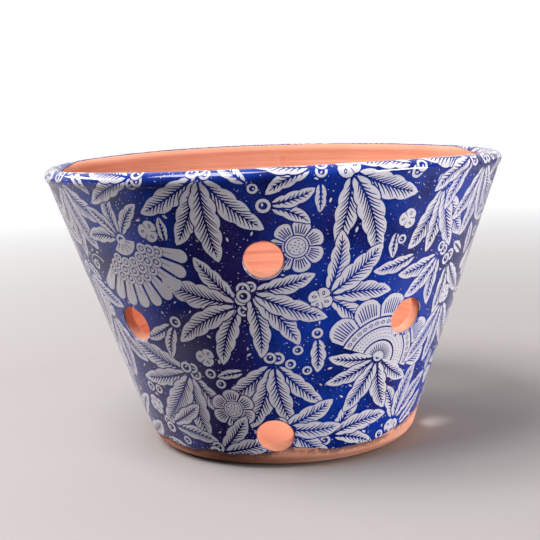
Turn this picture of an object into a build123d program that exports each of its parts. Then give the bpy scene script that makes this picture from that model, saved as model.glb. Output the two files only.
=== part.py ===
from build123d import *
import math
import os

# Overall sizes of the glazed pot, in millimetres
rim_diameter = 203.0
height = 127.5
foot_diameter = 117.8  # where the outer wall's line meets the plane of the foot

# Thicknesses, square to the surface they belong to
clay_thickness = 4.0
glaze_thickness = 0.4
floor_thickness = 10.0

# Lip, corners and foot
lip_radius = 3.4  # the lip is round in section, and rolls out of the wall
lip_roll = 0.3  # how far the lip stands out past the top of the wall
lip_groove_radius = 3.0  # soft hollow under the lip, outside
lip_bend_radius = 20.0  # soft bend inside, where the lip thins to the wall
foot_corner_radius = 10.0
floor_corner_radius = 9.0
foot_ring_width = 10.0
foot_recess = 1.5

# Where the glaze stops, above the foot and over the lip
glaze_foot_height = 7.0
glaze_lip_turn = 150.0  # degrees round the lip from its outermost line

# Air holes, drilled square to the wall in columns, the first of them at the front
air_hole_diameter = 15.0
column_count = 8
low_hole_height = 15.4
middle_hole_height = 63.3
high_hole_height = 92.3
drill_start = 6.0  # outside the wall
drill_reach = 20.0  # inside it, far enough to clear the corner of the floor

# Degrees by which two middle holes stray from their column, as drilled by hand
hand_drift = {1: -1.7, 7: 0.7}

rim_radius = rim_diameter / 2
lip_centre = (rim_radius - lip_radius, height - lip_radius)
lean = math.atan2(rim_radius - lip_roll - foot_diameter / 2, lip_centre[1])


def wall_radius(level, depth):
    """Radius of the leaning wall at a level, at a depth below its glazed surface."""
    return foot_diameter / 2 + level * math.tan(lean) - depth / math.cos(lean)


def on_lip(depth, turn):
    """Point of the lip's section, turned over the crown from its outermost line."""
    angle = math.radians(turn)
    reach = lip_radius - depth
    return (lip_centre[0] + reach * math.cos(angle), lip_centre[1] + reach * math.sin(angle))


def lip_joint(depth):
    """Point just under the lip where its round section runs into the wall's line."""
    side = (wall_radius(lip_centre[1], depth) - lip_centre[0]) * math.cos(lean)
    turn = math.acos(side / (lip_radius - depth))
    return on_lip(depth, -math.degrees(lean + turn))


def foot_corner(depth):
    """Sharp corner of the wall's line and the foot, before it is rounded."""
    level = depth - glaze_thickness
    return (wall_radius(level, depth), level)


def rounded(face, corners):
    for point, radius in corners:
        corner = face.vertices().sort_by_distance(Vector(*point))[0]
        face = fillet(corner, radius)
    return face


def outer_corners(depth):
    """The two outer corners that are rounded, with radii that keep both surfaces parallel."""
    return [
        (foot_corner(depth), foot_corner_radius - depth),
        (lip_joint(depth), lip_groove_radius + depth),
    ]


def turned(section):
    """Solid turned about the pot's axis from a section drawn as radius and height."""
    return revolve(Plane.XZ * section, axis=Axis.Z)


def clay_section():
    depth = glaze_thickness
    inner_depth = glaze_thickness + clay_thickness
    lip_inside = on_lip(depth, 180)
    bend_level = (lip_inside[0] - wall_radius(0, inner_depth)) / math.tan(lean)
    bend = (lip_inside[0], bend_level)
    floor_corner = (wall_radius(floor_thickness, inner_depth), floor_thickness)
    foot_flat = foot_corner(depth)[0] - foot_corner_radius * math.tan(math.pi / 4 - lean / 2)
    ring_inner = foot_flat - foot_ring_width

    inside_and_foot = Polyline(
        lip_inside,
        bend,
        floor_corner,
        (0, floor_thickness),
        (0, foot_recess),
        (ring_inner - foot_recess, foot_recess),
        (ring_inner, 0),
        foot_corner(depth),
        lip_joint(depth),
    )
    lip = ThreePointArc(lip_joint(depth), on_lip(depth, 60), lip_inside)
    section = make_face([inside_and_foot, lip])

    # The bend's arc is no longer than the straight stretch above it allows
    bend_room = 0.9 * (lip_inside[1] - bend_level) / math.tan(lean / 2)
    bend_corner = (bend, min(lip_bend_radius, bend_room))
    return rounded(section, [bend_corner, (floor_corner, floor_corner_radius)] + outer_corners(depth))


def coat_section():
    """Section of the glaze with the outer half of the wall still behind it."""
    glaze_end = on_lip(0, glaze_lip_turn)
    foot_edge, foot_level = foot_corner(0)
    mid_wall = (wall_radius(floor_thickness, glaze_thickness + clay_thickness / 2), floor_thickness)
    under_floor = (foot_edge - 2 * foot_corner_radius, foot_level)
    back_and_foot = Polyline(
        glaze_end, lip_centre, mid_wall, under_floor, foot_corner(0), lip_joint(0)
    )
    lip = ThreePointArc(lip_joint(0), on_lip(0, 60), glaze_end)
    section = rounded(make_face([back_and_foot, lip]), outer_corners(0))
    bare_foot = Rectangle(4 * rim_radius, 2 * glaze_foot_height)
    return section - bare_foot


def air_hole(column, level):
    """Drill, square to the wall, where a column has a hole at a level."""
    turn = 360 / column_count * column + hand_drift.get(column, 0)
    drill = Cylinder(
        air_hole_diameter / 2,
        drill_start + drill_reach,
        align=(Align.CENTER, Align.CENTER, Align.MIN),
    )
    drill = Rot(X=90 + math.degrees(lean)) * Pos(0, 0, -drill_reach) * drill
    return Rot(Z=turn) * Pos(0, -wall_radius(level, 0), level) * drill


def air_holes():
    holes = []
    for column in range(column_count):
        levels = [low_hole_height, high_hole_height] if column % 2 == 0 else [middle_hole_height]
        holes += [air_hole(column, level) for level in levels]
    return holes


def save(name, shape):
    shape.label = name
    export_step(shape, f"parts/{name}.step")


os.makedirs("parts", exist_ok=True)

thrown_pot = turned(clay_section())
coat = turned(coat_section()) - thrown_pot
holes = air_holes()
save("clay_body", thrown_pot - holes)
save("printed_glaze", coat - holes)
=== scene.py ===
"""Orchid pot: a hand-thrown clay body under a printed cobalt glaze, drilled with air holes."""

import cmath
import math
import random

import bpy
import numpy as np
from mathutils import Matrix, Vector, kdtree
from mathutils.geometry import delaunay_2d_cdt


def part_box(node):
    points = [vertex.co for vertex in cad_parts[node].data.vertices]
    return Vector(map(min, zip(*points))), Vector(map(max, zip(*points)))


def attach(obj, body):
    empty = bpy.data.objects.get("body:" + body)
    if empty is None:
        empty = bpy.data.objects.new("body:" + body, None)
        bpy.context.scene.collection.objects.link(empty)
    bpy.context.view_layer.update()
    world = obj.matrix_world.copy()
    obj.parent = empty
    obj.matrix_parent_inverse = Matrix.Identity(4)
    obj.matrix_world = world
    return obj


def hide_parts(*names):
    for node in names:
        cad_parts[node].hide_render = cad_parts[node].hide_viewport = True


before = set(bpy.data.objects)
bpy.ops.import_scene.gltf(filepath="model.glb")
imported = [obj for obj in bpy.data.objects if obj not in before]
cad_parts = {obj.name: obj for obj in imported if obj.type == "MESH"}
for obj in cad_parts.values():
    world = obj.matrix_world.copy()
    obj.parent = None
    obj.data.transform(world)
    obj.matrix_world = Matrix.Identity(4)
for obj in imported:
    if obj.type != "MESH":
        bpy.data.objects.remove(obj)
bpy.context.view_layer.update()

MM = 0.001  # every size below is in millimetres until a mesh is made

# The pot's own sizes: rim and height come from the frame, the rest are those of the model
glaze_top_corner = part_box("printed_glaze")[1]
rim_radius = glaze_top_corner.x / MM
height = glaze_top_corner.z / MM
foot_radius = 58.9
clay_thickness = 4.0
glaze_thickness = 0.4
floor_level = 10.0
lip_radius = 3.4
lip_roll = 0.3
lip_groove_radius = 3.0
lip_bend_radius = 20.0
foot_corner_radius = 10.0
floor_corner_radius = 9.0
foot_ring_width = 10.0
foot_recess = 1.5
hole_radius = 7.5
low_hole_level = 15.4
middle_hole_level = 63.3
high_hole_level = 92.3
hand_drift = {1: -1.7, 7: 0.7}
column_count = 8

# How far the hand-thrown pot strays from a true turning
rim_sway = 0.95
rim_sway_turn = 15.4  # degrees round from the camera at which the rim stands highest
foot_aside = 1.1
foot_aside_level = 25.0

# Where the camera stands: degrees round the pot from its front, distance and height
camera_turn = 3.16
camera_distance = 527.1
camera_height = 155.0
camera_yaw = -0.35
camera_pitch = 8.609
camera_roll = -2.375
camera_lens = 77.45

# Detail of the meshes
columns = 240
flat_radius = 80.0  # turns an angle round the pot into a flat distance
print_thickness = 0.04
print_root = 0.02  # how deep the print's white reaches into the ground
edge_round = 0.45  # how far from its edge the glaze starts to round off
hole_bevel = 0.25
neck_level = 114.0  # above it the wall curves into the groove and the lip
foot_bend_level = 8.0  # below it the wall bends into the foot
bare_foot_level = 7.0  # the bare foot below it shows the scrapes of turning
far_off = 99.0  # stands for a distance too great to matter

lip_centre = complex(rim_radius - lip_radius, height - lip_radius)
lean = math.atan2(rim_radius - lip_roll - foot_radius, lip_centre.imag)
half_turn = math.pi * flat_radius
dice = random.Random(11)


def wall_radius(level, depth=0.0):
    """Radius of the leaning wall at a level, at a depth below its glazed surface."""
    return foot_radius + level * math.tan(lean) - depth / math.cos(lean)


def arc(centre, radius, start, end):
    """Points of an arc in the plane of radius and level, between two angles in degrees."""
    count = max(3, round(abs(end - start) / 2))
    turn = np.radians(np.linspace(start, end, count))
    return centre + radius * np.exp(1j * turn)


def rounded(corners):
    """Points along straight lines between corners, each of them rounded by its own radius."""
    points = []
    for k, (corner, radius) in enumerate(corners):
        if not radius:
            points.append(corner)
            continue
        back = corners[k - 1][0] - corner
        ahead = corners[k + 1][0] - corner
        back /= abs(back)
        ahead /= abs(ahead)
        half = abs(cmath.phase(ahead / back)) / 2
        centre = corner + (back + ahead) / abs(back + ahead) * radius / math.sin(half)
        first = corner + back * radius / math.tan(half) - centre
        last = corner + ahead * radius / math.tan(half) - centre
        sweep = cmath.phase(last / first)
        points.extend(centre + first * np.exp(1j * sweep * np.linspace(0, 1, 30)))
    return np.array(points)


class Section:
    """A line in the plane of radius and level, followed by its length. The air is on its right."""

    def __init__(self, points):
        travelled = np.append(0, np.cumsum(np.abs(np.diff(points))))
        self.length = travelled[-1]
        self.along = np.linspace(0, self.length, round(self.length / 0.02))
        self.radius = np.interp(self.along, travelled, points.real)
        self.level = np.interp(self.along, travelled, points.imag)
        heading = np.gradient(self.radius) + 1j * np.gradient(self.level)
        heading /= np.abs(heading)
        self.out, self.up = heading.imag, -heading.real

    def at(self, along):
        """Radius and level at a length along the line, and its outward direction there."""
        lines = (self.radius, self.level, self.out, self.up)
        return [np.interp(along, self.along, line) for line in lines]

    def nearest(self, radius, level):
        """Lengths along the section at which it comes nearest to each of the given points."""
        gaps = np.abs((self.radius - radius[:, None]) + 1j * (self.level - level[:, None]))
        return self.along[gaps.argmin(axis=1)]


def outer_section():
    """Glazed surface from the foot up the wall, through the groove and round the lip."""
    lean_degrees = math.degrees(lean)
    foot_level = foot_corner_radius - glaze_thickness
    foot_centre = complex(wall_radius(foot_level, foot_corner_radius), foot_level)
    wall_out = cmath.rect(1, -lean)
    lip_depth = (wall_radius(lip_centre.imag) - lip_centre.real) * math.cos(lean)
    to_groove = lip_groove_radius + lip_depth
    reach = lip_radius + lip_groove_radius
    drop = math.sqrt(reach**2 - to_groove**2)
    groove_centre = lip_centre + wall_out * to_groove - 1j * wall_out * drop
    meeting = math.degrees(cmath.phase(lip_centre - groove_centre))
    return Section(
        np.concatenate(
            [
                arc(foot_centre, foot_corner_radius, -90, -lean_degrees),
                arc(groove_centre, lip_groove_radius, 180 - lean_degrees, meeting),
                arc(lip_centre, lip_radius, meeting - 180, 180),
            ]
        )
    )


def inner_section(floor_radius):
    """Bare inside from the lip down the wall and round the corner of the floor."""
    depth = glaze_thickness + clay_thickness
    lip_inside = lip_centre - (lip_radius - glaze_thickness)
    bend_level = (lip_inside.real - wall_radius(0, depth)) / math.tan(lean)
    bend_room = 0.9 * (lip_inside.imag - bend_level) / math.tan(lean / 2)
    return Section(
        rounded(
            [
                (lip_inside, 0),
                (complex(lip_inside.real, bend_level), min(lip_bend_radius, bend_room)),
                (complex(wall_radius(floor_level, depth), floor_level), floor_corner_radius),
                (complex(floor_radius, floor_level), 0),
            ]
        )
    )


def underside_section(foot_flat):
    """Underside from the middle out over the foot ring to where the foot's corner starts."""
    ring_inner = foot_flat - foot_ring_width
    return Section(
        rounded(
            [
                (complex(1.0, foot_recess), 0),
                (complex(ring_inner - foot_recess, foot_recess), 1.2),
                (complex(ring_inner, 0), 0.8),
                (complex(foot_flat, 0), 0),
            ]
        )
    )


floor_ring = 36.0  # radius at which the inside runs into its flat floor
outer = outer_section()
inner = inner_section(floor_ring)
inner_floor = Section(np.array([floor_ring + 1j * floor_level, 1 + 1j * floor_level]))
underside = underside_section(outer.radius[0])
crown = outer.level.argmax()


def along_wall(level):
    """Length along the outer section at which it passes a level."""
    return np.interp(level, outer.level[:crown], outer.along[:crown])


def wobble(turn, waves, seed):
    """Unevenness round the pot, about -1 to 1, of whole waves that a seed shifts."""
    luck = random.Random(seed)
    total = sum(np.sin(wave * turn + luck.uniform(0, 2 * math.pi)) for wave in waves)
    return total / math.sqrt(len(waves))


def rings(turn, along, pitch, seed):
    """Rings that the thrower's fingers leave, which climb the wall as a helix."""
    luck = random.Random(seed)
    drift = 1.4 * np.sin(along / luck.uniform(7, 9)) + 0.3 * wobble(turn, range(1, 4), seed)
    strength = 0.65 + 0.35 * np.sin(along / luck.uniform(10, 14) + luck.uniform(0, 6))
    return strength * np.sin(2 * math.pi * along / pitch - turn + drift)


def thrown(turn, radius, level):
    """Points in metres, with the rim's sway and the foot's shift of a pot thrown by hand."""
    seen = turn - math.radians(camera_turn)
    sway = rim_sway * np.cos(2 * (seen - math.radians(rim_sway_turn)))
    lift = sway * np.clip(level / height, 0, 1) ** 2
    aside = foot_aside * np.clip(1 - level / foot_aside_level, 0, 1) ** 2
    x = radius * np.sin(turn) + aside * math.cos(math.radians(camera_turn))
    y = -radius * np.cos(turn) + aside * math.sin(math.radians(camera_turn))
    return np.stack([x, y, level + lift], axis=-1) * MM


def on_section(section, turn, along, lift):
    radius, level, out, up = section.at(along)
    return thrown(turn, radius + out * lift, level + up * lift)


def outside_face(turn, along, depth=0.0):
    """The outer surface at a depth, with faint rings from the wheel."""
    waves = 0.04 * rings(turn, along, 11.0, 3) + 0.05 * wobble(turn, range(2, 7), 5)
    fade = np.clip(along / 4, 0, 1) * np.clip((outer.length - along) / 3, 0, 1)
    return on_section(outer, turn, along, fade * waves - depth)


def clay_face(turn, along):
    """The clay under the glaze and on the bare foot."""
    bare = np.clip((along_wall(bare_foot_level) - along) / 3, 0, 1) * np.clip(along / 4, 0, 1)
    scrape = bare * 0.08 * rings(turn, along, 2.3, 9)
    return outside_face(turn, along, glaze_thickness - scrape)


def inside_face(turn, along):
    """The bare inside, with its throwing rings."""
    fade = np.clip(along / 6, 0, 1) * np.clip((inner.length - along) / 8, 0, 1)
    waves = 0.16 * rings(turn, along, 6.1, 21) + 0.07 * rings(turn, along, 2.7, 22)
    return on_section(inner, turn, along, fade * waves)


def underside_face(turn, along):
    return on_section(underside, turn, along, 0)


def floor_face(turn, along):
    """The flat floor inside, with faint ridges from the thrower's finger."""
    return on_section(inner_floor, turn, along, 0.05 * np.sin(along / 1.1))


def facing(surface, turn, along, step=0.05):
    """Outward normals of a surface, from its slopes."""
    across = surface(turn + step / flat_radius, along) - surface(turn - step / flat_radius, along)
    upward = surface(turn, along + step) - surface(turn, along - step)
    normal = np.cross(across, upward)
    return normal / np.linalg.norm(normal, axis=-1, keepdims=True)


class AirHole:
    """A hole drilled square to the wall, at an angle round the pot and a level."""

    points = 56
    turns = np.arange(points) / points * 2 * math.pi

    def __init__(self, turn, level):
        self.turn = turn
        side, front = math.sin(turn), -math.cos(turn)
        radius = wall_radius(level)
        self.centre = np.array([radius * side, radius * front, level])
        self.across = np.array([-front, side, 0.0])
        self.axis = np.array([side * math.cos(lean), front * math.cos(lean), -math.sin(lean)])
        self.upward = np.cross(self.axis, self.across)

    def gap(self, turn, along):
        """Distance of points of the glazed surface from the glaze's edge round the hole."""
        radius, level = outer.at(along)[:2]
        place = np.stack([radius * np.sin(turn), -radius * np.cos(turn), level], axis=-1) - self.centre
        aside, above = place @ self.across, place @ self.upward
        gap = np.hypot(aside, above) - self.glaze_edge(np.arctan2(above, aside))
        return np.where(place @ self.axis > -hole_radius, gap, far_off)

    def glaze_edge(self, turn):
        """Radius of the glaze's edge round the hole, a little uneven."""
        ragged = 0.1 * wobble(turn, (3, 5, 8, 13), self.turn + self.centre[2])
        return hole_radius + hole_bevel + 0.12 + ragged

    def around(self, radius, surface_side, near, far):
        """Points round the hole where lines along its axis cross a surface, found by halving."""
        aside = np.outer(radius * np.cos(self.turns), self.across)
        above = np.outer(radius * np.sin(self.turns), self.upward)
        ring = self.centre + aside + above
        low = np.full(self.points, far)
        high = np.full(self.points, near)
        for _ in range(40):
            middle = (low + high) / 2
            place = ring + middle[:, None] * self.axis
            outside = surface_side(np.hypot(place[:, 0], place[:, 1]), place[:, 2]) > 0
            low = np.where(outside, low, middle)
            high = np.where(outside, middle, high)
        return ring + ((low + high) / 2)[:, None] * self.axis

    def on_outside(self, radius, depth):
        """The hole's edge on the wall's surface at a depth: on the sheet, and in space."""
        place = self.around(radius, lambda r, z: r - wall_radius(z, depth), 4.0, -4.0)
        level = place[:, 2] - depth * math.sin(lean)
        return np.stack([self.near_turn(place), along_wall(level)], axis=1), place

    def on_inside(self, radius):
        """The hole's edge on the bare inside: on the sheet, and in space."""
        place = self.around(radius, self.inside_gap, 0.0, -22.0)
        along = inner.nearest(np.hypot(place[:, 0], place[:, 1]), place[:, 2])
        return np.stack([self.near_turn(place), along], axis=1), place

    def near_turn(self, place):
        """Angles round the pot of points near the hole, without a jump at the back seam."""
        turn = np.arctan2(place[:, 0], -place[:, 1]) - self.turn
        return self.turn + (turn + math.pi) % (2 * math.pi) - math.pi

    @staticmethod
    def inside_gap(radius, level):
        return radius - np.interp(level, inner.level[::-1], inner.radius[::-1])


def air_holes():
    found = []
    for column in range(column_count):
        turn = 360 / column_count * column + hand_drift.get(column, 0)
        turn = math.radians((turn + 180) % 360 - 180)
        levels = (low_hole_level, high_hole_level) if column % 2 == 0 else (middle_hole_level,)
        found += [AirHole(turn, level) for level in levels]
    return found


holes = air_holes()

# Lower edge of the glaze: degrees round from the front, and level
glaze_edge = (
    (-180, 8.5),
    (-140, 7.0),
    (-100, 8.5),
    (-60, 7.6),
    (-36, 6.4),
    (-8, 6.8),
    (5, 10.2),
    (18, 7.6),
    (40, 7.4),
    (54, 10.0),
    (72, 14.0),
    (95, 17.0),
    (125, 11.0),
    (160, 7.5),
    (180, 8.5),
)

# How far over the lip the glaze reaches: degrees round from the front, and round the lip
glaze_lip_edge = (
    (-180, 86),
    (-106, 87),
    (-98, 125),
    (-88, 158),
    (0, 150),
    (75, 165),
    (104, 165),
    (112, 130),
    (120, 87),
    (180, 86),
)


def lower_edge(turn):
    """Length along the section at which the glaze stops above the foot."""
    level = np.interp(np.degrees(turn), *zip(*glaze_edge))
    ragged = 0.35 * wobble(turn, range(9, 30, 3), 31) + 0.16 * wobble(turn, range(40, 220, 13), 32)
    return along_wall(level + ragged)


def upper_edge(turn):
    """Length along the section at which the glaze stops on the lip."""
    over = np.interp(np.degrees(turn), *zip(*glaze_lip_edge))
    ragged = 0.12 * wobble(turn, range(5, 40, 4), 33) + 0.06 * wobble(turn, range(50, 200, 17), 34)
    return outer.length - lip_radius * np.radians(180 - over) + ragged


def edge_distance(turn, along):
    """Distance of points of the glaze from its nearest edge."""
    distance = np.minimum(along - lower_edge(turn), upper_edge(turn) - along)
    for hole in holes:
        distance = np.minimum(distance, hole.gap(turn, along))
    return distance


def glaze_depth(turn, along):
    """How deep the glaze's surface lies: it rounds off at its edges, behind a faint bead."""
    distance = np.clip(edge_distance(turn, along), 0, None)
    inward = np.clip(1 - distance / edge_round, 0, 1)
    bead = 0.07 * np.exp(-(((distance - 0.9) / 0.45) ** 2))
    return (glaze_thickness + 0.03) * (1 - np.sqrt(1 - inward**2)) - bead


def glaze_face(turn, along):
    return outside_face(turn, along, glaze_depth(turn, along))


def leftward(outline):
    """The outline in the order that keeps its inside on the left."""
    x, y = outline.T
    turning = (x * np.roll(y, -1) - y * np.roll(x, -1)).sum()
    return outline if turning > 0 else outline[::-1]


def triangulate(rim, openings, shapes, lines, spots):
    """Triangles inside a rim and outside its openings, and the topmost shape over each of them."""
    inside_only, reach = 1, 1e-6
    points, faces, edges = [], [], []
    for outline in [rim, *openings, *shapes]:
        first = len(points)
        points.extend(map(Vector, leftward(outline).tolist()))
        faces.append(list(range(first, first + len(outline))))
    for line in lines:
        first = len(points)
        points.extend(map(Vector, line.tolist()))
        edges.extend((k, k + 1) for k in range(first, first + len(line) - 1))
    points.extend(map(Vector, spots.tolist()))
    found = delaunay_2d_cdt(points, edges, faces, inside_only, reach, True)
    triangles, tops = [], []
    last_opening = len(openings)
    for corners, over in zip(found[2], found[5]):
        if 0 in over and not any(0 < k <= last_opening for k in over):
            triangles.append(corners)
            tops.append(max(max(over) - last_opening, 0) - 1)
    return np.array([point[:] for point in found[0]]), np.array(triangles), np.array(tops)


def split_flat(flat):
    """Angles and lengths of flat points, the back seam closed exactly."""
    across = np.where(np.abs(flat[:, 0] - half_turn) < 1e-3, -half_turn, flat[:, 0])
    return across / flat_radius, flat[:, 1]


def flattened(places):
    return np.stack([places[:, 0] * flat_radius, places[:, 1]], axis=1)


def turned_back(outline):
    """The outline once more at the other end of the sheet if it crosses the back seam."""
    copies = [outline]
    if outline[:, 0].max() > half_turn:
        copies.append(outline - [2 * half_turn, 0])
    if outline[:, 0].min() < -half_turn:
        copies.append(outline + [2 * half_turn, 0])
    return copies


class Patch:
    """Points, triangles and normals of a part of a mesh, and how far each point is below the glaze."""

    def __init__(self, points, triangles, normals=None, glaze_gap=None):
        self.points, self.triangles = points, triangles
        if normals is None:
            normals = smooth_normals(points, triangles)
        self.corners = normals[triangles]
        self.glaze_gap = np.full(len(points), far_off) if glaze_gap is None else glaze_gap

    def turned_over(self):
        self.triangles = self.triangles[:, ::-1]
        self.corners = -self.corners[:, ::-1]
        return self


def smooth_normals(points, triangles):
    a, b, c = (points[triangles[:, k]] for k in range(3))
    normal = np.cross(b - a, c - a)
    total = np.zeros_like(points)
    for k in range(3):
        np.add.at(total, triangles[:, k], normal)
    return total / np.maximum(np.linalg.norm(total, axis=1, keepdims=True), 1e-30)


def welded(points, triangles, reach):
    """Triangles whose open edges are joined wherever their points lie within reach."""
    edges = np.sort(triangles[:, [[0, 1], [1, 2], [2, 0]]].reshape(-1, 2), axis=1)
    pairs, uses = np.unique(edges, axis=0, return_counts=True)
    loose = np.unique(pairs[uses == 1])
    tree = kdtree.KDTree(len(loose))
    for k in loose:
        tree.insert(points[k], k)
    tree.balance()
    alias = np.arange(len(points))
    for k in loose:
        alias[k] = min(near[1] for near in tree.find_range(points[k], reach * MM))
    return alias[triangles]


def placed(name, data):
    """A new object in the scene."""
    thing = bpy.data.objects.new(name, data)
    bpy.context.scene.collection.objects.link(thing)
    return thing


def make_piece(name, patches, finish, reach=0.001):
    """One mesh of all the patches, joined within a reach and riding on the pot's body."""
    first = np.cumsum([0] + [len(patch.points) for patch in patches])
    points = np.concatenate([patch.points for patch in patches])
    triangles = np.concatenate([patch.triangles + start for patch, start in zip(patches, first)])
    triangles = welded(points, triangles, reach)

    # Triangles that lost a corner are left out, and so are those that lie face to face
    whole = (triangles != np.roll(triangles, 1, axis=1)).all(axis=1)
    alike = np.sort(triangles, axis=1)
    _, place, count = np.unique(alike, axis=0, return_inverse=True, return_counts=True)
    whole &= count[place.ravel()] == 1
    used, triangles = np.unique(triangles[whole], return_inverse=True)
    triangles = triangles.reshape(-1, 3)
    corners = np.concatenate([patch.corners for patch in patches])[whole]

    mesh = bpy.data.meshes.new(name)
    mesh.from_pydata(points[used].tolist(), [], triangles.tolist())
    mesh.polygons.foreach_set("use_smooth", [True] * len(triangles))
    gap = mesh.attributes.new("glaze_gap", "FLOAT", "POINT")
    gap.data.foreach_set("value", np.concatenate([patch.glaze_gap for patch in patches])[used])
    mesh.normals_split_custom_set(corners.reshape(-1, 3).tolist())
    mesh.materials.append(finish)
    piece = placed(name, mesh)
    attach(piece, "root")
    return piece


def grid(rows):
    """Flat points in rows round the pot, every other row shifted by half a step."""
    step = 2 * half_turn / columns
    across = -half_turn + step * np.arange(1, columns)
    spots = []
    for k, row in enumerate(rows):
        shift = step / 2 if k % 2 else 0
        spots.append(np.stack([across + shift, np.full(columns - 1, row)], axis=1))
    return np.concatenate(spots)


def sheet_rim(low, high, count=columns):
    """Outline of the unrolled sheet between a lower and an upper edge, its two ends alike."""
    across = np.linspace(-half_turn, half_turn, count + 1)
    turn = across / flat_radius
    low = np.broadcast_to(low(turn) if callable(low) else low, across.shape)
    high = np.broadcast_to(high(turn) if callable(high) else high, across.shape)
    ends = np.linspace(low[0], high[0], 60)[1:-1]
    bottom = np.stack([across, low], axis=1)
    right = np.stack([np.full(len(ends), half_turn), ends], axis=1)
    top = np.stack([across, high], axis=1)[::-1]
    left = np.stack([np.full(len(ends), -half_turn), ends], axis=1)[::-1]
    bottom[-1, 1], top[0, 1] = bottom[0, 1], top[-1, 1]
    return np.concatenate([bottom, right, top, left])


INK, WHITE = 0, 1


def oval(radius, count=16, squash=1.0):
    turn = np.arange(count) / count * 2 * math.pi
    return radius * (np.cos(turn) + 1j * squash * np.sin(turn))


def stroke(path, width, end_share=0.4):
    """Outline of a brush stroke along a path, thinning to a share of its width."""
    path = np.asarray(path)
    along = np.gradient(path)
    along /= np.abs(along)
    half = width / 2 * np.linspace(1, end_share, len(path))
    end = path[-1] + along[-1] * half[-1]
    return np.concatenate([path + 1j * along * half, [end], (path - 1j * along * half)[::-1]])


def moved(shapes, place, turn=0.0):
    """The same shapes turned by an angle and carried to a place."""
    way = cmath.exp(1j * turn)
    return [(points * way + place, tone) for points, tone in shapes]


def midrib(length, bend, count):
    """Points along a curved midrib that starts at the origin."""
    heading = np.exp(1j * bend * (np.linspace(0, 1, count) - 0.35))
    steps = (heading[1:] + heading[:-1]) / 2 * length / (count - 1)
    return np.append(0, np.cumsum(steps))


def lobed(phase):
    """Share of its full width that a leaf has along its edge, one lobe to each whole step."""
    return 0.8 + 0.2 * np.abs(np.sin(math.pi * phase)) ** 0.7


def leaf(length, width, bend, lobes=3):
    """A leaf with a lobed edge, its midrib and slanting veins left in ink."""
    count = 6 * lobes + 1
    spine = midrib(length, bend, count)
    share = np.linspace(0, 1, count)
    along = np.gradient(spine)
    side = 1j * along / np.abs(along)
    swell = width / 2 * np.sin(math.pi * share**0.9) ** 0.62
    left, right = (swell * lobed(lobes * share + shift) for shift in (0, 0.35))
    outline = np.concatenate([spine + side * left, (spine - side * right)[-2:0:-1]])
    halo = np.concatenate([spine + side * (left + 0.6), (spine - side * (right + 0.6))[::-1]])
    shapes = [(halo, INK), (outline, WHITE), (stroke(spine[: round(0.92 * count)], 1.1, 0.35), INK)]
    veins = max(4, round(length / 2.3))
    for k in range(veins):
        at = 0.07 + 0.83 * (k + 0.5) / veins
        root = complex(np.interp(at, share, spine.real), np.interp(at, share, spine.imag))
        heading = cmath.exp(1j * bend * (at - 0.35))
        for hand, reach in ((1, left), (-1, right)):
            room = float(np.interp(at + 0.06, share, reach)) - 1.1
            slant = 0.66 + dice.uniform(-0.05, 0.05)
            span = room / math.sin(slant) * dice.uniform(0.88, 1.05)
            if span > 0.9:
                way = heading * cmath.exp(1j * slant * hand)
                middle = root + way * span * 0.55 * cmath.exp(-0.07j * hand)
                shapes.append((stroke([root, middle, root + way * span], 0.8, 0.3), INK))
    return shapes


def berry(radius):
    """A white ring round a dark heart with a glint."""
    glint = (oval(radius * 0.16, 6, 1.6) + radius * (0.12 - 0.14j), WHITE)
    heart = (oval(radius * 0.6, 14, 0.92), INK)
    return [(oval(radius + 0.5), INK), (oval(radius), WHITE), heart, glint]


def bud(radius, lobes):
    """A lobed bud with an eyelet on each lobe."""
    turn = np.arange(lobes * 6) / (lobes * 6) * 2 * math.pi
    reach = radius * (0.74 + 0.26 * np.abs(np.sin(lobes * turn / 2)) ** 0.6)
    shapes = [((reach + 0.5) * np.exp(1j * turn), INK), (reach * np.exp(1j * turn), WHITE)]
    eyelet = [(oval(radius * 0.2, 10, 0.62), INK), (oval(radius * 0.1, 6, 0.6), WHITE)]
    for k in range(lobes):
        lobe = cmath.exp(1j * (k + 0.5) / lobes * 2 * math.pi)
        notch = radius * cmath.exp(1j * k / lobes * 2 * math.pi)
        shapes += moved(eyelet, lobe * radius * 0.55, cmath.phase(lobe) + 0.3)
        shapes.append((stroke([notch * 0.72, notch * 0.45, notch * 0.25], 0.45, 0.5), INK))
    return shapes


def sector(reach, half, foot, count=25):
    """Outline between an arc of a fan and a small foot at its origin."""
    rim = reach * np.exp(1j * np.linspace(-half, half, count))
    return np.append(rim, foot * np.exp(1j * np.array([half, -half])))


def comb(start, end, near, far, count, width=0.6):
    """Stripes that radiate between two distances, the outer ones shorter."""
    shapes = []
    for k in range(count):
        share = (k + 0.5) / count
        way = cmath.exp(1j * (start + (end - start) * share))
        tip = far - (far - near) * 0.35 * (2 * share - 1) ** 2
        shapes.append((stroke(way * np.linspace(near, tip, 3), width, 0.7), INK))
    return shapes


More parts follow.
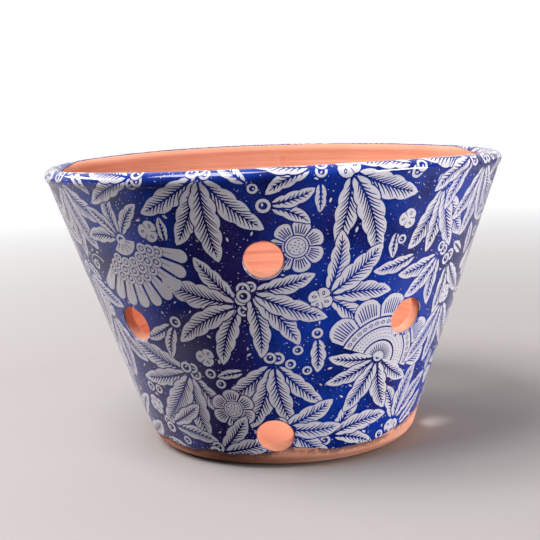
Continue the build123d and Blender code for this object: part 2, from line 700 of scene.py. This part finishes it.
def fan(radius, spread, petals):
    """A fan blossom: striped petals round a bead chain, dotted bands and a rayed heart."""
    half, step, core = spread / 2, spread / petals, radius * 0.6
    shapes = []
    for k in range(petals):
        middle = -half + step * (k + 0.5)
        bulge = np.linspace(-1, 1, 9)
        rim = radius * (0.94 + 0.06 * np.cos(bulge * 1.2)) * (1 - 0.12 * np.abs(bulge) ** 3)
        rim = rim * np.exp(1j * (middle + bulge * step * 0.47))
        base = core * 0.9 * np.exp(1j * (middle + np.array([0.47, -0.47]) * step))
        petal = np.append(rim, base)
        centre = core * 1.2 * cmath.exp(1j * middle)
        shapes += [(centre + (petal - centre) * (1 + 1.8 / radius), INK), (petal, WHITE)]
        stripes = max(4, round(step * radius * 0.5))
        shapes += comb(middle - step * 0.36, middle + step * 0.36, core * 1.16, radius * 0.93, stripes)
    for reach, tone in ((0.66, INK), (0.63, WHITE), (0.5, INK), (0.475, WHITE)):
        shapes.append((sector(radius * reach, half * 1.02, radius * 0.05), tone))
    beads = round(spread * radius * 0.565 / 2.9)
    bead = [(oval(1.08, 12, 0.8), INK), (oval(0.72, 10, 0.75), WHITE), (oval(0.3, 6), INK)]
    for k in range(beads):
        way = cmath.exp(1j * (-half + spread * (k + 0.5) / beads))
        shapes += moved(bead, way * radius * 0.565, cmath.phase(way) + math.pi / 2)
    for row, reach in enumerate((0.44, 0.385, 0.33)):
        dots = round(spread * radius * reach / 1.4)
        for k in range(dots):
            way = cmath.exp(1j * (-half + spread * (k + 0.4 + 0.3 * (row % 2)) / dots))
            shapes.append((oval(0.28, 5) + way * radius * reach, INK))
    shapes.append((sector(radius * 0.29, half, radius * 0.03, 13), INK))
    shapes.append((sector(radius * 0.26, half, radius * 0.02, 13), WHITE))
    rays = max(5, round(spread * radius * 0.18))
    return shapes + comb(-half, half, radius * 0.1, radius * 0.22, rays, 0.5)


def blossom(radius, petals):
    """A round blossom: striped petals about a ringed heart full of dots."""
    turn = np.arange(petals * 7) / (petals * 7) * 2 * math.pi
    reach = radius * (0.8 + 0.2 * np.abs(np.sin(petals * turn / 2)) ** 0.55)
    shapes = [((reach + 0.6) * np.exp(1j * turn), INK), (reach * np.exp(1j * turn), WHITE)]
    for k in range(petals):
        between = cmath.exp(2j * math.pi * k / petals)
        middle = 2 * math.pi * (k + 0.5) / petals
        shapes.append((stroke(between * radius * np.linspace(0.84, 0.42, 3), 0.8, 0.7), INK))
        spread = 2 * math.pi / petals * 0.36
        shapes += comb(middle - spread, middle + spread, radius * 0.5, radius * 0.86, 5, 0.6)
    for share, tone in ((0.46, INK), (0.41, WHITE), (0.34, INK), (0.31, WHITE)):
        shapes.append((oval(radius * share, 20), tone))
    for k in range(14):
        spot = cmath.rect(radius * 0.27 * math.sqrt((k + 0.4) / 14), 2.4 * k)
        shapes.append((oval(0.34, 5) + spot, INK))
    return shapes


def plume(radius, spread, quills):
    """A plume of rounded quills over rows of ringed scales."""
    half, step = spread / 2, spread / quills
    wide = radius * 0.38 * step
    shapes = []
    for k in range(quills):
        way = cmath.exp(1j * (-half + step * (k + 0.5)))
        tip = radius - wide + wide * np.exp(1j * np.linspace(-1.5, 1.5, 8))
        quill = np.append(tip, radius * 0.42 + np.array([0.28j, -0.28j]) * wide)
        shapes.append((quill * way, WHITE))
        shapes.append((stroke(np.linspace(0.5, 0.78, 3) * radius * way, 0.5, 0.4), INK))
    for reach in (0.58, 0.46, 0.34):
        count = max(3, round(spread * radius * reach / 5.2))
        size = spread * radius * reach / count / 2
        for k in range(count):
            way = cmath.exp(1j * half * (2 * (k + 0.5) / count - 1) * 0.98)
            for share, tone in ((1.12, INK), (1.0, WHITE), (0.55, INK), (0.34, WHITE)):
                shapes.append(((oval(size * share, 12) + radius * reach) * way, tone))
    shapes.append((sector(radius * 0.27, half, radius * 0.02, 13), INK))
    shapes.append((sector(radius * 0.235, half, radius * 0.02, 13), WHITE))
    return shapes + comb(-half, half, radius * 0.08, radius * 0.19, 5, 0.5)


def tendril(length, curl):
    """A thin tendril that ends in a curl, with seeds beside it."""
    heading = np.exp(1j * curl * np.linspace(0, 1, 16) ** 2.2)
    path = np.append(0, np.cumsum(heading[1:] * length / 15))
    shapes = [(stroke(path, 0.62, 0.55), WHITE)]
    for k in (4, 7, 10):
        side = 1j * heading[k] * math.copysign(2.1, -curl)
        shapes += moved([(oval(1.0, 8, 0.5), WHITE)], path[k] + side, cmath.phase(heading[k]) + 0.5)
    return shapes


def spray(heading, spread, leaves, length, berries, with_bud=False):
    """Leaves that radiate from one point, with berries or a bud where they meet."""
    shapes = []
    for k in sorted(range(leaves), key=lambda k: -abs(2 * k - leaves + 1)):
        share = (k + 0.5) / leaves - 0.5
        turn = heading + spread * share + dice.uniform(-0.08, 0.08)
        long = length * (1 - 0.3 * abs(share)) * dice.uniform(0.88, 1.1)
        bend = dice.uniform(0.25, 0.6) * (1 if share > 0 else -1)
        grown = leaf(long, long * dice.uniform(0.31, 0.37), bend, max(2, round(long / 7)))
        shapes += moved(grown, cmath.rect(2.4, turn), turn)
    aside = 2.7 if berries > 1 else 0.6
    for k in range(berries):
        turn = heading + math.pi + (k - (berries - 1) / 2) * 1.25
        shapes += moved(berry(dice.uniform(2.3, 2.9)), cmath.rect(aside, turn), turn)
    if with_bud:
        grown = bud(dice.uniform(4.4, 5.3), dice.choice((3, 4)))
        shapes += moved(grown, cmath.rect(2.6, heading + math.pi), heading)
    return shapes


class PrintedWall:
    """The unrolled wall, with the shapes printed on it and the room they leave."""

    def __init__(self):
        self.shapes = []
        self.taken = np.zeros((round(2 * half_turn) + 1, round(outer.length) + 1), bool)

    def laid(self, shapes, turn, along):
        """Shapes drawn in true lengths about a place, as flat outlines."""
        flat = []
        for points, tone in shapes:
            height_along = along + points.imag
            angle = turn + points.real / outer.at(height_along)[0]
            flat.append((np.stack([angle * flat_radius, height_along], axis=1), tone))
        return flat

    def cells(self, across, along):
        """Cells of the wall, a millimetre square, in which flat points lie."""
        wide, high = self.taken.shape
        return np.floor(across + half_turn).astype(int) % wide, np.clip(along.astype(int), 0, high - 1)

    def crowding(self, flat):
        """Share of some points in and around outlines that fall where the wall is taken."""
        spots = []
        for outline, _ in flat:
            middle = outline.mean(axis=0)
            spots += [middle + (outline - middle) * share for share in (0.3, 0.7, 1.12)]
        return self.taken[self.cells(*np.concatenate(spots).T)].mean()

    def keep(self, flat):
        """Adds shapes to the print and marks the room under the white ones as taken."""
        self.shapes += flat
        for outline, tone in flat:
            if tone == WHITE and len(outline) > 8:
                low, high = np.floor(outline.min(axis=0)), np.ceil(outline.max(axis=0))
                across, along = np.meshgrid(*(np.arange(a, b) + 0.5 for a, b in zip(low, high)))
                inside = np.zeros(across.shape, bool)
                for (x, y), (u, v) in zip(outline, np.roll(outline, -1, axis=0)):
                    crosses = (y > along) != (v > along)
                    inside ^= crosses & (across < x + (along - y) * (u - x) / ((v - y) or 1))
                self.taken[self.cells(across[inside], along[inside])] = True

    def put(self, shapes, degrees, level):
        """Prints shapes about a place given in degrees from the front and in level."""
        self.keep(self.laid(shapes, math.radians(degrees), along_wall(level)))

    def scatter(self, make, count, crossing=0.0, tries=40):
        """Prints motifs at random places and turns, each where it first fits."""
        for _ in range(count):
            shapes = make()
            solid = [shape for shape in shapes if shape[1] == WHITE and len(shape[0]) > 4]
            for _ in range(tries):
                turn, along = dice.uniform(-math.pi, math.pi), dice.uniform(6, outer.length - 5)
                way = dice.uniform(-math.pi, math.pi)
                if self.crowding(self.laid(moved(solid, 0, way), turn, along)) <= crossing:
                    self.keep(self.laid(moved(shapes, 0, way), turn, along))
                    break


# Sprays of one third of the print: degrees round, level, heading, spread, leaves, length, berries, bud
sprays = (
    (-57, 124, -80, 100, 4, 32, 2, False),
    (-13, 126, -100, 130, 4, 34, 3, False),
    (20, 125, -60, 110, 3, 33, 0, True),
    (46, 117, -80, 90, 4, 31, 2, False),
    (-7, 74, 185, 150, 4, 31, 3, False),
    (16, 76, 20, 150, 4, 27, 0, True),
    (-27, 44, -130, 180, 5, 31, 3, False),
    (-58, 66, -90, 100, 3, 30, 0, True),
    (1, 49, -95, 120, 4, 31, 2, False),
    (-44, 17, 10, 90, 2, 25, 2, False),
    (20, 14, 20, 110, 3, 25, 2, False),
    (50, 14, 80, 100, 3, 26, 0, True),
    (57, 84, -60, 100, 2, 26, 2, False),
)
repeats = 3


def printed_wall():
    wall = PrintedWall()
    for repeat in range(repeats):
        start = 360 / repeats * repeat
        start = (start + 180) % 360 - 180
        for degrees, level, heading, spread, leaves, length, berries, with_bud in sprays:
            grown = spray(math.radians(heading), math.radians(spread), leaves, length, berries, with_bud)
            wall.put(grown, start + degrees, level)
        wall.put(spray(math.radians(115), math.radians(170), 4, 21, 1), start - 38, 101)
        wall.put(moved(plume(31, math.radians(130), 9), 0, math.radians(-72)), start - 38, 101)
        wall.put(spray(math.radians(-112), math.radians(185), 5, 24, 1), start + 35, 47)
        wall.put(moved(fan(29, math.radians(178), 6), 0, math.radians(68)), start + 35, 47)
        wall.put(blossom(11, 7), start + 8, 97)
        wall.put(blossom(9.5, 6), start - 14, 28)
    # Painted highlight: a thin white arc at the lower left of every hole's edge
    for hole in holes:
        wall.keep(wall.laid([(painted_hole_highlight(), WHITE)], hole.turn, along_wall(hole.centre[2])))
    wall.scatter(lambda: spray(0, 2.2, 4, dice.uniform(25, 29), 3), 25, 0.08)
    wall.scatter(lambda: spray(0, 1.8, 3, dice.uniform(21, 26), 2), 60, 0.05)
    wall.scatter(lambda: spray(0, 1.3, 2, dice.uniform(17, 21), 1), 40, 0.02)
    wall.scatter(lambda: leaf(dice.uniform(15, 20), 6.5, dice.uniform(-0.5, 0.5)), 45)
    wall.scatter(lambda: bud(dice.uniform(4, 5), dice.choice((3, 4, 5))), 35)
    wall.scatter(lambda: leaf(dice.uniform(10, 13), 4.6, dice.uniform(-0.5, 0.5), 2), 40)
    wall.scatter(lambda: tendril(dice.uniform(12, 18), dice.choice((-3.2, 3.2))), 40)
    wall.scatter(lambda: berry(dice.uniform(2.0, 2.6)), 60)
    wall.scatter(lambda: [(oval(dice.uniform(0.7, 1.2), 8, 0.45), WHITE)], 150)
    wall.scatter(lambda: [(fleck(), WHITE)], 2600, 0.0, 2)
    return wall


def fleck():
    """A crumb of white where the ink missed the glaze."""
    turn = np.arange(5) / 5 * 2 * math.pi
    reach = [dice.uniform(0.1, 0.34) for _ in turn]
    return np.array(reach) * np.exp(1j * turn)


def painted_hole_highlight():
    """A thin white arc round the lower left of a hole's edge, laid in with the print: a painted highlight
    on the glaze's rounded edge.
    """
    start = dice.uniform(130, 190)
    shares = np.linspace(0, 1, 24)
    turn = np.radians(start + dice.uniform(110, 170) * shares)
    width = 0.1 + 0.55 * np.sin(math.pi * shares) ** 0.6
    near = hole_radius + hole_bevel
    return np.concatenate([(near + 0.1 + width) * np.exp(1j * turn), near * np.exp(1j * turn[::-1])])


def finely(outline):
    """The outline with longer edges divided, most of all where the surface curves."""
    ahead = np.roll(outline, -1, axis=0)
    along = outline[:, 1]
    curved = (along > along_wall(neck_level)) | (along < along_wall(foot_bend_level + 1))
    limit = np.where(curved, 0.55, 2.2)
    parts = np.ceil(np.linalg.norm(ahead - outline, axis=1) / limit).astype(int)
    pieces = []
    for start, end, count in zip(outline, ahead, parts):
        share = np.arange(count) / count
        pieces.append(start + (end - start) * share[:, None])
    return np.concatenate(pieces)


def sheet_rows(low, high, curved_step, flat_step):
    """Levels of the rows of a sheet, close together where its surface curves."""
    foot, neck = along_wall(foot_bend_level), along_wall(neck_level)
    rows = [
        np.arange(low, foot, curved_step * 2),
        np.arange(max(low, foot), neck, flat_step),
        np.arange(neck, high, curved_step),
    ]
    return np.concatenate(rows)


def hole_outlines(reach, depth):
    """Flat outlines at a reach from the glaze's edge round each air hole."""
    found = []
    for hole in holes:
        edge = hole.on_outside(hole.glaze_edge(hole.turns) + reach, depth)[0]
        found += turned_back(flattened(edge))
    return found


def edge_lines(distances):
    """Lines that follow the glaze's edges, so that the mesh can round off there."""
    across = np.linspace(-half_turn, half_turn, 3 * columns + 1)
    turn = across / flat_radius
    found = []
    for distance in distances:
        found.append(np.stack([across, lower_edge(turn) + distance], axis=1))
        found.append(np.stack([across, upper_edge(turn) - distance], axis=1))
        for outline in hole_outlines(distance, 0):
            found.append(np.append(outline, outline[:1], axis=0))
    return found


def slab(flat, triangles, top_depth, bottom_depth):
    """A closed skin between two depths under the glaze's surface, over a part of the sheet."""
    turn, along = split_flat(flat)
    upper = outside_face(turn, along, top_depth(turn, along))
    lower = outside_face(turn, along, bottom_depth(turn, along))
    normals = facing(glaze_face, turn, along)
    edges = triangles[:, [[0, 1], [1, 2], [2, 0]]].reshape(-1, 2)
    codes = edges[:, 0] * len(flat) + edges[:, 1]
    back_codes = edges[:, 1] * len(flat) + edges[:, 0]
    seam = np.abs(np.abs(flat[edges, 0]).min(axis=1) - half_turn) < 1e-3
    start, end = edges[~np.isin(codes, back_codes) & ~seam].T
    corners = np.stack([upper[start], lower[start], lower[end], upper[end]], axis=1).reshape(-1, 3)
    first = 4 * np.arange(len(start))
    near = np.stack([first, first + 1, first + 2], axis=1)
    far = np.stack([first, first + 2, first + 3], axis=1)
    sides = Patch(corners, np.concatenate([near, far]))
    return [Patch(upper, triangles, normals), Patch(lower, triangles, normals).turned_over(), sides]


def glaze_ground(finish):
    """The glaze's closed skin: its surface, rounded at every edge, and its back against the clay."""
    rim = sheet_rim(lower_edge, upper_edge, 3 * columns)
    openings = hole_outlines(0, glaze_thickness)
    rows = sheet_rows(4, outer.length, 0.5, 2.2)
    rounding = (0.07, 0.22, edge_round, 0.9)  # distances from the edge of the lines in it
    lines = edge_lines(rounding)
    flat, triangles, _ = triangulate(rim, openings, [], lines, grid(rows))
    back_depth = glaze_thickness + 0.05
    skin = slab(flat, triangles, glaze_depth, lambda turn, along: np.full(len(turn), back_depth))
    return make_piece("glaze_ground", skin, finish)


def floral_print(finish):
    """The print's white, raised by a hair over the ground, each island closed all round."""
    wall = printed_wall()
    shapes, tones = [], []
    for outline, tone in wall.shapes:
        for copy in turned_back(outline):
            shapes.append(finely(copy))
            tones.append(tone)
    margin = 0.12  # ink that is left along the glaze's edges
    rim = sheet_rim(
        lambda turn: lower_edge(turn) + margin, lambda turn: upper_edge(turn) - margin, 3 * columns
    )
    rows = sheet_rows(4, outer.length, 0.5, 2.6)
    flat, triangles, tops = triangulate(rim, hole_outlines(0.1, 0), shapes, [], grid(rows))
    white = np.append(tones, INK)[tops] == WHITE
    triangles = triangles[white]
    used, triangles = np.unique(triangles, return_inverse=True)
    triangles = triangles.reshape(-1, 3)
    islands = slab(
        flat[used],
        triangles,
        lambda turn, along: glaze_depth(turn, along) - print_thickness,
        lambda turn, along: glaze_depth(turn, along) + print_root,
    )
    return make_piece("floral_print", islands, finish)


def bridge(rows, count):
    """Triangles between closed rows of points, one after another."""
    near = np.arange(count)
    ahead = (near + 1) % count
    triangles = []
    for row in range(rows - 1):
        a, b = near + row * count, ahead + row * count
        c, d = a + count, b + count
        triangles += [np.stack([a, b, d], axis=1), np.stack([a, d, c], axis=1)]
    return np.concatenate(triangles)


def tunnel(hole, outer_edge, inner_edge):
    """The cut face of one hole, from its edge on the outside to its edge on the inside."""
    start = hole.on_outside(hole_radius, glaze_thickness)[1]
    end = hole.on_inside(hole_radius)[1]
    luck = np.random.default_rng(round(abs(hole.turn) * 100 + hole.centre[2]))
    rows = [outer_edge]
    for share in (0.07, 0.28, 0.5, 0.72, 0.93):
        place = start + (end - start) * share
        away = place - hole.centre
        away -= np.outer(away @ hole.axis, hole.axis)
        place = place + away / hole_radius * luck.normal(0, 0.035, len(place))[:, None]
        across, back, level = place.T
        rows.append(thrown(np.arctan2(across, -back), np.hypot(across, back), level))
    rows.append(inner_edge)
    return Patch(np.concatenate(rows), bridge(len(rows), hole.points))


def turned_disc(section, face, middle):
    """A part of the clay turned in rings about the axis, closed by a point in its middle."""
    rows = np.append(np.arange(0, section.length, 2.0), section.length)
    turn, along = np.meshgrid(np.linspace(-math.pi, math.pi, columns + 1)[:-1], rows)
    points = face(turn.ravel(), along.ravel())
    near = np.arange(columns)
    inmost = 0 if section.radius[0] < section.radius[-1] else (len(rows) - 1) * columns
    ring, ahead = near + inmost, (near + 1) % columns + inmost
    centre = np.full(columns, len(points))
    cap = [centre, ahead, ring] if inmost == 0 else [ring, ahead, centre]
    points = np.append(points, [[0, 0, middle * MM]], axis=0)
    return Patch(points, np.concatenate([bridge(len(rows), columns), np.stack(cap, axis=1)]))


def clay_sheet(face, length, hole_edges, rows):
    """One face of the clay wall, pierced along the edges of the holes."""
    openings = []
    for edge in hole_edges:
        openings += turned_back(flattened(edge))
    flat, triangles, _ = triangulate(sheet_rim(0.0, length), openings, [], [], grid(rows))
    turn, along = split_flat(flat)
    gap = lower_edge(turn) - along
    glaze_gap = np.where((gap > -1) & (face is clay_face), gap, far_off)
    return Patch(face(turn, along), triangles, facing(face, turn, along), glaze_gap)


def edge_on(face, edge):
    """A hole's edge on a face, with the single precision that the sheet's own points have."""
    across, along = np.float32(flattened(edge)).T.astype(float)
    return face(across / flat_radius, along)


def clay_body(finish):
    """The clay: its outer and inner faces, the cut faces of its holes, its floor and its underside."""
    edge_radius = hole_radius + hole_bevel
    outer_edges = [hole.on_outside(edge_radius, glaze_thickness)[0] for hole in holes]
    inner_edges = [hole.on_inside(edge_radius)[0] for hole in holes]
    outer_rows = sheet_rows(0.8, outer.length - 0.3, 0.8, 3.0)
    inner_rows = np.arange(0.8, inner.length - 0.5, 1.3)
    patches = [
        clay_sheet(clay_face, outer.length, outer_edges, outer_rows),
        clay_sheet(inside_face, inner.length, inner_edges, inner_rows),
    ]
    for hole, outside, inside in zip(holes, outer_edges, inner_edges):
        patches.append(tunnel(hole, edge_on(clay_face, outside), edge_on(inside_face, inside)))
    patches.append(turned_disc(underside, underside_face, foot_recess))
    patches.append(turned_disc(inner_floor, floor_face, floor_level))
    weld_reach = 0.02  # the cut faces' edges lie that close to the sheets'
    return make_piece("thrown_clay", patches, finish, weld_reach)


class Value:
    """A shader value. Arithmetic on it adds Math nodes."""

    def __init__(self, nodes, socket):
        self.nodes, self.socket = nodes, socket

    def _math(self, operation, *terms):
        node = self.nodes.add("ShaderNodeMath", {"operation": operation}, dict(enumerate(terms)))
        return Value(self.nodes, node.outputs[0])

    def __add__(self, other):
        return self._math("ADD", self, other)

    def __sub__(self, other):
        return self._math("SUBTRACT", self, other)

    def __mul__(self, other):
        return self._math("MULTIPLY", self, other)

    def __truediv__(self, other):
        return self._math("DIVIDE", self, other)

    def __rsub__(self, other):
        return self._math("SUBTRACT", other, self)

    __radd__ = __add__
    __rmul__ = __mul__

    def held(self):
        """The value kept between 0 and 1."""
        return self._math("MINIMUM", self._math("MAXIMUM", self, 0.0), 1.0)

    def size(self):
        return self._math("ABSOLUTE", self)

    def above(self, start, end):
        """0 up to a start, 1 from an end on, and even between them."""
        return ((self - start) / (end - start)).held()


class Nodes:
    """A node tree and the one way that nodes are added to it."""

    def __init__(self, tree):
        self.tree = tree
        tree.nodes.clear()

    def add(self, kind, settings=None, values=None):
        node = self.tree.nodes.new(kind)
        for name, setting in (settings or {}).items():
            setattr(node, name, setting)
        for name, value in (values or {}).items():
            socket = node.inputs[name]
            if isinstance(value, Value):
                self.tree.links.new(value.socket, socket)
            elif isinstance(value, bpy.types.NodeSocket):
                self.tree.links.new(value, socket)
            else:
                socket.default_value = value
        return node

    def value(self, kind, settings=None, values=None, output=0):
        return Value(self, self.add(kind, settings, values).outputs[output])

    def mixed(self, share, first, second):
        """A colour between two colours."""
        node = self.add("ShaderNodeMix", {"data_type": "RGBA"}, {0: share, 6: first, 7: second})
        return node.outputs[2]

    def place(self, scale=(1, 1, 1)):
        """Position on the piece in metres, stretched along each axis."""
        source = self.add("ShaderNodeTexCoord").outputs["Object"]
        return self.add("ShaderNodeVectorMath", {"operation": "MULTIPLY"}, {0: source, 1: scale}).outputs[0]

    def noise(self, size, detail=2.0, rough=0.5, place=None):
        """Noise about 0.5 whose lumps are as wide as a size in millimetres."""
        values = {
            "Vector": place or self.place(),
            "Scale": 1 / (size * MM),
            "Detail": detail,
            "Roughness": rough,
        }
        return self.value("ShaderNodeTexNoise", {}, values)

    def bumped(self, strength, reach, height):
        """A normal tilted by a height map that reaches a distance in millimetres."""
        values = {"Strength": strength, "Distance": reach * MM, "Height": height}
        return self.add("ShaderNodeBump", {}, values).outputs[0]


def srgb(red, green, blue):
    """A colour written as on a screen, 0 to 255, in the linear values that shaders use."""
    levels = [level / 255 for level in (red, green, blue)]
    linear = [s / 12.92 if s <= 0.04 else ((s + 0.055) / 1.055) ** 2.4 for s in levels]
    return (*linear, 1.0)


def new_finish(name):
    material = bpy.data.materials.new(name)
    material.use_nodes = True
    return material, Nodes(material.node_tree)


def finish_with(nodes, shader):
    nodes.add("ShaderNodeOutputMaterial", {}, {"Surface": shader.outputs[0]})


def clear_glaze(nodes, colour, dulled):
    """Clear rippled glaze over a colour, duller where it is grainy."""
    ripple = nodes.noise(2.2, 2.0) * 0.5 + nodes.noise(9, 1.0)
    values = {
        "Base Color": colour,
        "Roughness": 0.32 + dulled * 0.2,
        "Coat Weight": 1.0,
        "Coat Roughness": 0.05,
        "Coat IOR": 1.5,
        "Specular IOR Level": 0.0,
        "Normal": nodes.bumped(0.12, 0.4, ripple),
    }
    finish_with(nodes, nodes.add("ShaderNodeBsdfPrincipled", {}, values))


def cobalt_glaze():
    """Cobalt ink under clear glaze: mottled from ultramarine to navy, dusted with white grain."""
    material, nodes = new_finish("cobalt_glaze")
    mottle = nodes.noise(7, 3.0)
    tone = (nodes.noise(34, 2.0) * 0.7 + mottle * 0.3).above(0.4, 0.6)
    colour = nodes.mixed(tone, srgb(5, 19, 90), srgb(11, 50, 152))
    # Purple clouds in the blue, from a large noise mirrored left to right
    purple_clouds = (nodes.noise(60, 1.0, 0.5, nodes.place((-1, 1, 1))) * 0.7 + mottle * 0.3).above(0.5, 0.62)
    colour = nodes.mixed(purple_clouds * 0.8, colour, srgb(34, 18, 80))
    grain = nodes.noise(0.45, 3.0, 0.7).above(0.56, 0.74)
    patch = nodes.noise(5, 2.0).above(0.42, 0.66)
    dust = grain * (patch * 0.45 + 0.08)
    colour = nodes.mixed(dust, colour, srgb(130, 150, 215))
    cells = {"Vector": nodes.place(), "Scale": 1 / (0.9 * MM)}
    crumbs = nodes.add("ShaderNodeTexVoronoi", {}, cells)
    near = 1 - Value(nodes, crumbs.outputs["Distance"]).above(0.1, 0.22)
    chosen = nodes.value("ShaderNodeSeparateColor", {}, {0: crumbs.outputs["Color"]}).above(0.9, 0.92)
    colour = nodes.mixed(near * chosen * 0.8, colour, srgb(222, 226, 240))
    clear_glaze(nodes, colour, dust)
    return material


def white_glaze():
    """White glaze that shows where the print leaves the ink out, with a breath of blue in it."""
    material, nodes = new_finish("white_glaze")
    breath = nodes.noise(6, 3.0).above(0.4, 0.75)
    colour = nodes.mixed(breath * 0.5, srgb(216, 211, 219), srgb(198, 199, 217))
    speck = nodes.noise(0.4, 2.0, 0.6).above(0.66, 0.78)
    colour = nodes.mixed(speck * 0.35, colour, srgb(120, 134, 190))
    clear_glaze(nodes, colour, speck)
    return material


def bare_terracotta():
    """Fired terracotta, streaked by throwing and grainy, with ink smudged under the glaze's edge."""
    material, nodes = new_finish("bare_terracotta")
    streaks = nodes.noise(1.6, 3.0, 0.6, nodes.place((0.02, 0.02, 1.0)))
    bloom = nodes.noise(45, 2.0)
    grain = nodes.noise(0.5, 3.0, 0.7)
    tone = (streaks * 0.35 + bloom * 0.55 + grain * 0.1).above(0.32, 0.68)
    colour = nodes.mixed(tone, srgb(204, 130, 98), srgb(228, 164, 140))
    pits = nodes.noise(0.8, 2.0).above(0.62, 0.72)
    colour = nodes.mixed(pits * 0.25, colour, srgb(160, 84, 50))
    gap = nodes.value("ShaderNodeAttribute", {"attribute_name": "glaze_gap"}, {}, "Fac")
    near = 1 - gap.above(0.5, 4.5)
    smudge = (nodes.noise(3.2, 4.0, 0.7) + near * 0.3 - 0.18).above(0.4, 0.52) * near
    colour = nodes.mixed(smudge * 0.8, colour, srgb(62, 48, 54))
    values = {
        "Base Color": colour,
        "Roughness": 0.78 + grain * 0.15,
        "Specular IOR Level": 0.3,
        "Normal": nodes.bumped(0.4, 0.3, grain * 0.6 + streaks * 0.7),
    }
    finish_with(nodes, nodes.add("ShaderNodeBsdfPrincipled", {}, values))
    return material


def pale_floor():
    """A wide floor with the pot's shadow, white far off, pale to the camera, and painted dark in front to
    every other ray: a painted dark reflection and painted shade for the glaze.
    """
    size = 12.0
    corners = [(-size, -size, 0), (size, -size, 0), (size, size, 0), (-size, size, 0)]
    mesh = bpy.data.meshes.new("floor")
    mesh.from_pydata(corners, [], [(0, 1, 2, 3)])
    material, nodes = new_finish("pale_floor")
    place = nodes.place()
    distance = nodes.value("ShaderNodeVectorMath", {"operation": "LENGTH"}, {0: place}, "Value")
    parts = nodes.add("ShaderNodeSeparateXYZ", {}, {0: place})
    across, ahead = (Value(nodes, parts.outputs[axis]) for axis in ("X", "Y"))
    front = ((-1 * ahead - across.size() * 0.3) / distance).above(0.0, 0.35)
    near_left = (1 - distance.above(0.125, 0.16)) * (-1 * across / distance).above(0.45, 0.75)
    seen = nodes.value("ShaderNodeLightPath", {}, {}, "Is Camera Ray")
    # Painted reflection and painted shade: to every ray but the camera's, the floor in front of the pot is
    # dark, except for a pale patch near its left. The glaze's front therefore reflects dark and gets less
    # bounce light.
    dark = (1 - seen) * front * (1 - near_left)
    colour = nodes.mixed(dark, srgb(162, 156, 155), srgb(52, 48, 54))
    lit = nodes.add("ShaderNodeBsdfDiffuse", {}, {"Color": colour}).outputs[0]
    white = nodes.add("ShaderNodeEmission", {}, {"Color": (1, 1, 1, 1), "Strength": 1.0}).outputs[0]
    fade = seen * distance.above(0.2, 1.0)
    finish_with(nodes, nodes.add("ShaderNodeMixShader", {}, {0: fade, 1: lit, 2: white}))
    mesh.materials.append(material)
    placed("floor", mesh)


def soft_lamp(name, turn, rise, distance, size, power):
    """A window of light that faces the pot, at degrees round from the front and up from the floor."""
    lamp = bpy.data.lights.new(name, "AREA")
    lamp.shape = "RECTANGLE"
    lamp.size, lamp.size_y = size
    lamp.energy = power
    aim = Vector((0, 0, 0.07))
    turn, rise = math.radians(turn), math.radians(rise)
    level = math.cos(rise)
    way = Vector((math.sin(turn) * level, -math.cos(turn) * level, math.sin(rise)))
    holder = placed(name, lamp)
    holder.location = aim + way * distance
    holder.rotation_euler = way.to_track_quat("Z", "Y").to_euler()


def surroundings():
    """White to the camera; to the pot, a room white behind it, pale above and dim in front."""
    world = bpy.data.worlds.new("studio")
    world.use_nodes = True
    bpy.context.scene.world = world
    nodes = Nodes(world.node_tree)
    way = nodes.add("ShaderNodeTexCoord").outputs["Generated"]
    parts = nodes.add("ShaderNodeSeparateXYZ", {}, {0: way})
    back = Value(nodes, parts.outputs["Y"]).above(0.0, 0.6)
    over = Value(nodes, parts.outputs["Z"]).above(0.2, 0.9)
    glow = 0.12 + back * 0.7 + over * 0.3
    seen = nodes.value("ShaderNodeLightPath", {}, {}, "Is Camera Ray")
    strength = seen + (1 - seen) * glow
    sky = nodes.add("ShaderNodeBackground", {}, {"Color": (1, 1, 1, 1), "Strength": strength})
    nodes.add("ShaderNodeOutputWorld", {}, {"Surface": sky.outputs[0]})


def camera():
    data = bpy.data.cameras.new("camera")
    data.lens = camera_lens
    data.sensor_width = 36.0
    angles = (camera_turn, camera_yaw, camera_pitch, camera_roll)
    turn, yaw, pitch, roll = (math.radians(angle) for angle in angles)
    level = math.cos(pitch)
    ahead = Vector((math.sin(yaw) * level, math.cos(yaw) * level, -math.sin(pitch)))
    right = Vector((math.cos(yaw), -math.sin(yaw), 0))
    up = right.cross(ahead)
    rolled_right = right * math.cos(roll) + up * math.sin(roll)
    rolled_up = up * math.cos(roll) - right * math.sin(roll)
    axes = Matrix((rolled_right, rolled_up, -ahead)).transposed()
    stand = Matrix.Translation(Vector((0, -camera_distance, camera_height)) * MM)
    holder = placed("camera", data)
    holder.matrix_world = Matrix.Rotation(turn, 4, "Z") @ stand @ axes.to_4x4()
    bpy.context.scene.camera = holder


clay = clay_body(bare_terracotta())
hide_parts("clay_body")
ground = glaze_ground(cobalt_glaze())
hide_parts("printed_glaze")
pattern = floral_print(white_glaze())

pale_floor()
surroundings()
soft_lamp("skylight", -50, 62, 1.2, (0.7, 0.7), 20)
soft_lamp("right_window", 64, 2, 1.1, (0.55, 0.2), 12)
soft_lamp("left_window", -108, 27, 1.2, (0.8, 0.2), 8)
camera()
bpy.context.scene.view_settings.view_transform = "Standard"
